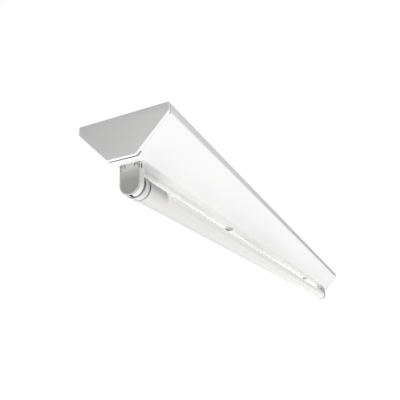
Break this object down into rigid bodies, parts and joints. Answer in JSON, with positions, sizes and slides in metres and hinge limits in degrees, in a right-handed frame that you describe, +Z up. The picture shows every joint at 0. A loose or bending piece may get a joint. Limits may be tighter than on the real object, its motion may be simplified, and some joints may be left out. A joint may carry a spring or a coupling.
{
  "type": "tube light fixture",
  "caption": "Ceiling batten light with a folded white trough cover, end caps, rotary lampholders and a straight pin-ended tube lamp below.",
  "frame": {"origin": "middle of the back plate's upper face, which meets the ceiling", "axes": "+X along the lamp towards the far end, +Y across the body, +Z up into the ceiling"},
  "size_m": [1.252, 0.11, 0.0839],
  "materials": {
    "white_steel": "white powder coat, satin",
    "zinc_steel": "zinc plated",
    "cap_plastic": "white, moulded",
    "holder_plastic": "white, moulded",
    "rotor_plastic": "dark grey, moulded",
    "bush_rubber": "black",
    "contact_brass": "plain",
    "fastener_nickel": "nickel plated",
    "lamp_diffuser": "frosted white",
    "lamp_cap_plastic": "white, moulded",
    "pin_metal": "nickel plated",
    "strip_board": "white solder mask",
    "light_phosphor": "yellow",
    "circuit_board": "green solder mask",
    "driver_component": "mixed",
    "lead_red": "red insulation",
    "block_nylon": "natural white",
    "wire_brown": "brown insulation",
    "wire_blue": "blue insulation",
    "wire_earth": "green and yellow insulation",
    "clip_nylon": "natural white"
  },
  "bodies": {
    "fixture": {"back_plate": "white_steel", "cable_bush": "bush_rubber", "cover": "white_steel", "terminal_block": "block_nylon", "terminal_inserts": "contact_brass", "terminal_screws": "zinc_steel", "block_screws": "zinc_steel", "earth_stud": "zinc_steel", "earth_washer": "zinc_steel", "earth_ring": "contact_brass", "earth_nut": "zinc_steel", "live_wire": "wire_brown", "neutral_wire": "wire_blue", "earth_wire": "wire_earth", "wire_clips": "clip_nylon", "bridge_near": "zinc_steel", "bridge_far": "zinc_steel", "end_cap_near": "cap_plastic", "end_cap_far": "cap_plastic", "washer_near": "clip_nylon", "washer_far": "clip_nylon", "holder_housing_near": "holder_plastic", "holder_housing_far": "holder_plastic", "holder_back_near": "holder_plastic", "holder_back_far": "holder_plastic", "contacts_near": "contact_brass", "contacts_far": "contact_brass"},
    "lamp": {"lamp_tube": "lamp_diffuser", "lamp_cap_near": "lamp_cap_plastic", "lamp_cap_far": "lamp_cap_plastic", "lamp_pins_near": "pin_metal", "lamp_pins_far": "pin_metal", "light_strip": "strip_board", "light_chips": "light_phosphor", "driver_board": "circuit_board", "driver_parts": "driver_component", "strip_leads": "lead_red"},
    "near_rotor": {"rotor_near": "rotor_plastic"},
    "near_stud": {"stud_near": "fastener_nickel"},
    "far_rotor": {"rotor_far": "rotor_plastic"},
    "far_stud": {"stud_far": "fastener_nickel"}
  },
  "joints": [
    {"name": "lamp_turn", "type": "hinge", "parent": "fixture", "child": "lamp", "pos_m": [0, 0, -0.0705], "axis": [1, 0, 0], "range_deg": [0, 90]},
    {"name": "near_rotor_turn", "type": "hinge", "parent": "fixture", "child": "near_rotor", "pos_m": [0, 0, -0.0705], "axis": [1, 0, 0], "range_deg": [0, 90]},
    {"name": "far_rotor_turn", "type": "hinge", "parent": "fixture", "child": "far_rotor", "pos_m": [0, 0, -0.0705], "axis": [1, 0, 0], "range_deg": [0, 90]},
    {"name": "near_stud_turn", "type": "hinge", "parent": "fixture", "child": "near_stud", "pos_m": [-0.3175, 0, -0.05], "axis": [0, 0, -1], "range_deg": [0, 90]},
    {"name": "far_stud_turn", "type": "hinge", "parent": "fixture", "child": "far_stud", "pos_m": [0.3175, 0, -0.05], "axis": [0, 0, -1], "range_deg": [0, 90]}
  ],
  "couplings": [
    {"joint": "near_rotor_turn", "follows": "lamp_turn", "ratio": 1},
    {"joint": "far_rotor_turn", "follows": "lamp_turn", "ratio": 1}
  ]
}
